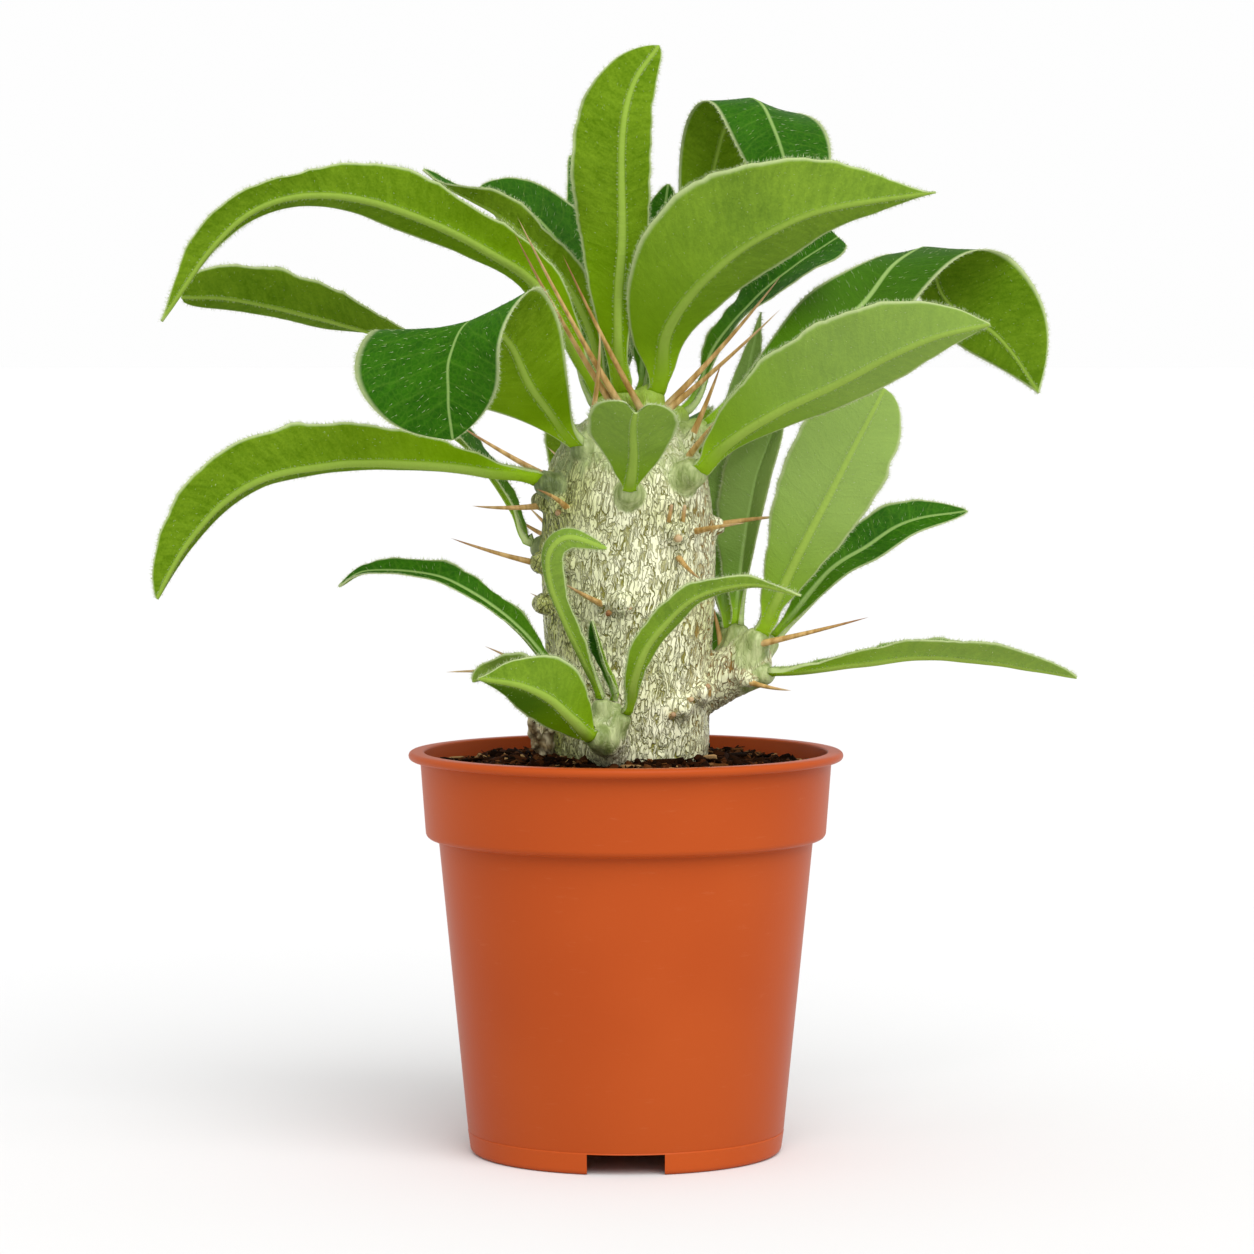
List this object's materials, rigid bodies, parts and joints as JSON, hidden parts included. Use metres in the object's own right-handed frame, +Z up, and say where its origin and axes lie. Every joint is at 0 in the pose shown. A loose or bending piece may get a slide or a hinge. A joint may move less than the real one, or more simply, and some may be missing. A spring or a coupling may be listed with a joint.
{
  "type": "potted pachypodium",
  "caption": "Potted succulent: a swollen silvery stem with paired spines and long arching leaves, standing in soil in a plain round nursery pot with a rolled rim and drained floor.",
  "frame": {"origin": "on the pot's own axis, on the surface that the pot stands on", "axes": "+Z is up along the pot's axis; -Y is the side of the plant that the picture shows; +X is that view's right"},
  "size_m": [0.2495, 0.1669, 0.3044],
  "materials": {
    "pot_plastic": "satin",
    "soil": "matte",
    "stem_bark": "satin",
    "leaf": "satin"
  },
  "bodies": {
    "root": {"pot": "pot_plastic", "soil": "soil", "stem": "stem_bark", "leaf_top": "leaf", "leaf_upper_right": "leaf", "leaf_arch_behind": "leaf", "leaf_behind_right": "leaf", "leaf_right_arch": "leaf", "leaf_right_front": "leaf", "leaf_small_front": "leaf", "leaf_left_fold": "leaf", "leaf_left_arch": "leaf", "leaf_left_back": "leaf", "leaf_left_middle": "leaf", "leaf_left_inner": "leaf", "leaf_back_left": "leaf", "leaf_inner_left": "leaf", "leaf_back_upright": "leaf", "leaf_back_middle": "leaf", "leaf_back_low": "leaf", "leaf_back_left_low": "leaf", "leaf_young_left": "leaf", "leaf_young_right": "leaf", "branch_leaf_upright": "leaf", "branch_leaf_inner": "leaf", "branch_leaf_back": "leaf", "branch_leaf_right": "leaf", "branch_leaf_low": "leaf", "branch_leaf_hidden": "leaf", "offset_leaf_long": "leaf", "offset_leaf_curl": "leaf", "offset_leaf_front": "leaf", "offset_leaf_left": "leaf", "offset_leaf_right": "leaf", "offset_leaf_inner": "leaf"}
  },
  "joints": []
}
